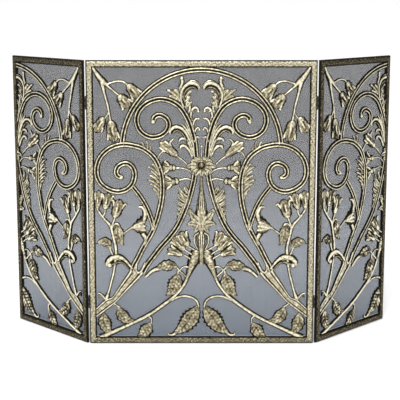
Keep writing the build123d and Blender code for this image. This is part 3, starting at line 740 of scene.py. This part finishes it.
def noise_node(nodes, links, scale, detail, roughness=0.6):
    """Noise fixed to the object."""
    where = nodes.new("ShaderNodeTexCoord")
    noise = nodes.new("ShaderNodeTexNoise")
    noise.inputs["Scale"].default_value = scale
    noise.inputs["Detail"].default_value = detail
    noise.inputs["Roughness"].default_value = roughness
    links.new(where.outputs["Object"], noise.inputs["Vector"])
    return noise.outputs["Fac"]


def math_node(nodes, links, kind, a, b):
    """A sum on two numbers or sockets."""
    node = nodes.new("ShaderNodeMath")
    node.operation = kind
    for socket, value in zip(node.inputs, (a, b)):
        if isinstance(value, (int, float)):
            socket.default_value = value
        else:
            links.new(value, socket)
    return node.outputs[0]


def colour_ramp(nodes, links, level, stops, blend="LINEAR"):
    """Colours picked by a level; stops are (position, colour)."""
    ramp = nodes.new("ShaderNodeValToRGB")
    ramp.color_ramp.interpolation = blend
    elements = ramp.color_ramp.elements
    while len(elements) < len(stops):
        elements.new(0.5)
    for element, (position, colour) in zip(elements, stops):
        element.position = position
        element.color = (*colour, 1)
    links.new(level, ramp.inputs["Fac"])
    return ramp.outputs["Color"]


def map_range(nodes, links, value, **ends):
    """A value moved from one range to another; ends name the node's sockets, as in from_min."""
    node = nodes.new("ShaderNodeMapRange")
    for word, end in ends.items():
        node.inputs[word.replace("_", " ").title()].default_value = end
    links.new(value, node.inputs["Value"])
    return node.outputs["Result"]


def centred(nodes, links, noise, amount):
    """A noise spread evenly about zero."""
    return math_node(nodes, links, "MULTIPLY", math_node(nodes, links, "SUBTRACT", noise, 0.5), amount)


def patina(name, coarse, coarse_amount, fine_amount, stops,
           wear_and_shade=0.0, contrast=1.0, roughness=0.38, bump=0.25):
    """Rubbed antique gold: the tone attribute and two noises pick a colour from black to cream."""
    material, nodes, links, shader = new_material(name)
    tone = nodes.new("ShaderNodeAttribute")
    tone.attribute_name = "tone"
    big = noise_node(nodes, links, coarse, 3)
    small = noise_node(nodes, links, GRAIN_SCALE, 4, 0.7)
    spread = centred(nodes, links, big, coarse_amount)
    grain = centred(nodes, links, small, fine_amount)
    level = math_node(nodes, links, "ADD", math_node(nodes, links, "ADD", tone.outputs["Fac"], spread), grain)
    # wear_and_shade shifts the whole level: a slightly worn gold on the castings, and painted shade on the
    # wing and foot-rail copies
    level = math_node(nodes, links, "ADD", math_node(nodes, links, "MULTIPLY", level, contrast), wear_and_shade)
    links.new(colour_ramp(nodes, links, level, stops, "B_SPLINE"), shader.inputs["Base Color"])
    rough = map_range(nodes, links, level, to_min=roughness + DULL_EXTRA, to_max=roughness)
    links.new(rough, shader.inputs["Roughness"])
    shader.inputs["Metallic"].default_value = 0.8
    bumps = nodes.new("ShaderNodeBump")
    bumps.inputs["Strength"].default_value = bump
    bumps.inputs["Distance"].default_value = BUMP_DEPTH
    pitted = math_node(nodes, links, "ADD", big, math_node(nodes, links, "MULTIPLY", small, 0.5))
    links.new(pitted, bumps.inputs["Height"])
    links.new(bumps.outputs["Normal"], shader.inputs["Normal"])
    return material


def dark_metal(name, dark, light, roughness, scale=220):
    """Blackened metal with a slight uneven sheen."""
    material, nodes, links, shader = new_material(name)
    cloud = noise_node(nodes, links, scale, 4)
    links.new(colour_ramp(nodes, links, cloud, [(0.35, dark), (0.7, light)]), shader.inputs["Base Color"])
    shader.inputs["Metallic"].default_value = 0.6
    shader.inputs["Roughness"].default_value = roughness
    return material


def height_graded_wire(name, low, high, foot, head):
    """Blackened wire, lighter and bluer towards the floor; foot and head are heights in metres."""
    material, nodes, links, shader = new_material(name)
    where = nodes.new("ShaderNodeTexCoord")
    parts = nodes.new("ShaderNodeSeparateXYZ")
    links.new(where.outputs["Object"], parts.inputs["Vector"])
    cloud = centred(nodes, links, noise_node(nodes, links, 12, 3), 0.12)
    height = math_node(nodes, links, "ADD", parts.outputs["Z"], cloud)
    rise = map_range(nodes, links, height, from_min=foot, from_max=head)
    links.new(colour_ramp(nodes, links, rise, [(0.0, low), (1.0, high)]), shader.inputs["Base Color"])
    shader.inputs["Metallic"].default_value = 0.5
    shader.inputs["Roughness"].default_value = 0.5
    return material


# Noise scale of the finest grain, extra roughness where the gold is worn off, depth of the pits in metres
GRAIN_SCALE, DULL_EXTRA, BUMP_DEPTH = 900, 0.3, 0.0006

BLACK, UMBER, BRONZE = (0.004, 0.003, 0.002), (0.020, 0.015, 0.007), (0.11, 0.088, 0.045)
STRAW, CREAM = (0.36, 0.32, 0.21), (0.86, 0.81, 0.62)
CAST_STOPS = [(0.0, BLACK), (0.25, UMBER), (0.50, BRONZE), (0.76, STRAW), (0.98, CREAM)]
FRAME_STOPS = [(0.0, BLACK), (0.20, UMBER), (0.42, BRONZE), (0.68, STRAW), (0.95, CREAM)]
GOLD = patina("aged_gold_castings", 150, 1.1, 0.6, CAST_STOPS, wear_and_shade=-0.06, roughness=0.36)
# The wing castings: the same gold, darkened and given more contrast as painted shade for the folded wings
GOLD_WING_SHADED = patina("aged_gold_wing_castings", 90, 0.9, 0.5, CAST_STOPS,
                   wear_and_shade=-1.15, contrast=2.4, roughness=0.30)
GOLD_FRAME = patina("aged_gold_frame", 300, 1.5, 0.6, FRAME_STOPS, bump=0.6)
# The centre's bottom rail: the frame gold darkened as painted shade near the floor
GOLD_FOOT_SHADED = patina("aged_gold_foot_rail_painted_shade", 300, 2.0, 0.7, FRAME_STOPS, wear_and_shade=-0.22, bump=0.6)
# The wing bars: the frame gold darkened as painted shade for the folded wings
GOLD_WING_FRAME_SHADED = patina("aged_gold_wing_frame", 300, 1.8, 0.6, FRAME_STOPS, wear_and_shade=-0.36, bump=0.6)
# The mesh wire runs from grey-blue at the foot to near black at the top
MESH_METAL = height_graded_wire("black_wire", (0.16, 0.19, 0.235), (0.020, 0.023, 0.034), 0.26, 0.56)
STEEL = dark_metal("dark_hinge_steel", (0.02, 0.017, 0.012), (0.07, 0.06, 0.045), 0.4)


# ---------------------------------------------------------------- the object

GROUPS = {**scrollwork(), "corner_spray": corner_spray(), "side_vine": side_vine(), "base_vine": base_vine(),
          "bud_stems": bud_stems(), "crest": crest(), "finial": finial(), "rosette": rosette()}
# Groups drawn whole, and groups whose two halves make one piece of the centre panel
WHOLE = ("finial", "rosette")
SHARED = ("arch", "base_vine", "crest")
NONE = Matrix.Identity(4)

for group, pieces in GROUPS.items():
    centre = trimmed(to_mesh(group, pieces), -OPEN_U)
    left, right = pattern_place(-1, 0, NONE), pattern_place(1, 0, NONE)
    if group in WHOLE:
        spots = {f"centre_{group}": [right]}
    elif group in SHARED:
        spots = {f"centre_{group}": [left, right]}
    else:
        spots = {f"centre_left_{group}": [left], f"centre_right_{group}": [right]}
    for node, places in spots.items():
        add(node + "_relief", join_copies(node, centre, places), GOLD, "centre_panel", "aged_gold", node)

WING_NODES = {"scrollwork": ("scrollwork", "arch"), "corner_spray": ("corner_spray",),
              "side_vine": ("side_vine",), "base_vine": ("base_vine",), "bud_stems": ("bud_stems",),
              "half_motif": ("crest", "finial"), "half_rosette": ("rosette",)}
for node, groups in WING_NODES.items():
    half = trimmed(to_mesh(node, [p for g in groups for p in GROUPS[g]]), WING_OPEN_U - TUCK)
    for side, word in ((-1, "left"), (1, "right")):
        spot = pattern_place(-side, side * WING_SHIFT, fold(side))
        name = f"{word}_wing_{node}"
        relief = join_copies(name, half, [spot])
        add(name + "_relief", relief, GOLD_WING_SHADED, word + "_wing", "aged_gold", name)

centre_names = ["centre_bottom_rail", "centre_top_rail", "centre_left_stile", "centre_right_stile"]
frame_bars(-HALF_W, HALF_W, centre_names, "centre_panel", NONE)
wire_mesh(-HALF_W, HALF_W, WIRE_PITCH, "centre_wire_mesh", "centre_panel", NONE)
for side, word in ((-1, "left"), (1, "right")):
    near, far = HALF_W + HINGE_GAP, HALF_W + HINGE_GAP + WING_W
    ends = (near, far) if side > 0 else (-far, -near)
    stiles = ("inner_stile", "outer_stile") if side > 0 else ("outer_stile", "inner_stile")
    names = [f"{word}_wing_{n}" for n in ("bottom_rail", "top_rail", *stiles)]
    frame_bars(*ends, names, word + "_wing", fold(side))
    wire_mesh(*ends, WING_PITCH, f"{word}_wing_wire_mesh", word + "_wing", fold(side))

for name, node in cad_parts.items():
    if "hem" in name or "hinge" in name or "screws" in name:
        node.data.materials.clear()
        node.data.materials.append(MESH_METAL if "hem" in name else STEEL)


# ---------------------------------------------------------------- room, light and camera

# Sizes and places in metres, power in watts
FLOOR_SIZE, FLOOR_DROP = 400, 0.0005
KEY_PLACE, KEY_TARGET, KEY_SIZE, KEY_POWER = (-0.7, -2.6, 3.2), (0, 0, 0.4), 1.4, 90
SKY_STRENGTH, SKY_SOFTNESS, SKY_TURN = 1.3, 50, (22, -10, 0)
CAMERA_PLACE, CAMERA_TILT = (-0.0043, -2.70, 1.023), 8.7
CAMERA_LENS, CAMERA_SENSOR, CAMERA_SHIFT, CAMERA_REACH = 85.85, 36.0, -0.15, 100

# The room dims from full to SIDE_LIGHT as a direction turns from SIDE_START to SIDE_END along X
SIDE_START, SIDE_END, SIDE_LIGHT = 0.40, 0.80, 0.10


def plain_floor():
    """A pale floor just under the screen."""
    material, nodes, links, shader = new_material("pale_floor")
    shades = [(0.0, (0.93, 0.93, 0.93)), (1.0, (0.95, 0.95, 0.95))]
    links.new(colour_ramp(nodes, links, noise_node(nodes, links, 2, 2), shades), shader.inputs["Base Color"])
    shader.inputs["Roughness"].default_value = 0.9
    bpy.ops.mesh.primitive_plane_add(size=FLOOR_SIZE, location=(0, 0, -FLOOR_DROP))
    floor = bpy.context.object
    floor.name = "floor"
    floor.data.materials.append(material)


def studio_world():
    """A white room that is darker to the sides, so that the folded wings stay dimmer than the centre."""
    world = bpy.data.worlds.new("studio")
    bpy.context.scene.world = world
    world.use_nodes = True
    nodes, links = world.node_tree.nodes, world.node_tree.links
    where = nodes.new("ShaderNodeTexCoord")
    parts = nodes.new("ShaderNodeSeparateXYZ")
    links.new(where.outputs["Generated"], parts.inputs["Vector"])
    sideways = math_node(nodes, links, "ABSOLUTE", parts.outputs["X"], 0)
    strength = map_range(nodes, links, sideways,
                         from_min=SIDE_START, from_max=SIDE_END, to_min=1.0, to_max=SIDE_LIGHT)
    links.new(strength, nodes["Background"].inputs["Strength"])
    nodes["Background"].inputs["Color"].default_value = (1, 1, 1, 1)


def add_light(name, kind, power):
    """A lamp in the scene, and its data."""
    data = bpy.data.lights.new(name, kind)
    data.energy = power
    lamp = bpy.data.objects.new(name, data)
    bpy.context.scene.collection.objects.link(lamp)
    return lamp, data


plain_floor()
studio_world()
key, key_data = add_light("key", "AREA", KEY_POWER)
key_data.size = KEY_SIZE
key.location = KEY_PLACE
key.rotation_euler = (Vector(KEY_TARGET) - Vector(KEY_PLACE)).to_track_quat("-Z", "Y").to_euler()
sky, sky_data = add_light("sky_sun", "SUN", SKY_STRENGTH)
sky_data.angle = math.radians(SKY_SOFTNESS)
sky.rotation_euler = [math.radians(turn) for turn in SKY_TURN]

camera_data = bpy.data.cameras.new("camera")
camera_data.lens, camera_data.sensor_width = CAMERA_LENS, CAMERA_SENSOR
camera_data.shift_y = CAMERA_SHIFT
camera_data.clip_end = CAMERA_REACH
camera_data.dof.use_dof = False
camera = bpy.data.objects.new("camera", camera_data)
camera.location = CAMERA_PLACE
camera.rotation_euler = (math.radians(90 - CAMERA_TILT), 0, 0)
bpy.context.scene.collection.objects.link(camera)
bpy.context.scene.camera = camera
bpy.context.scene.view_settings.view_transform = "Standard"
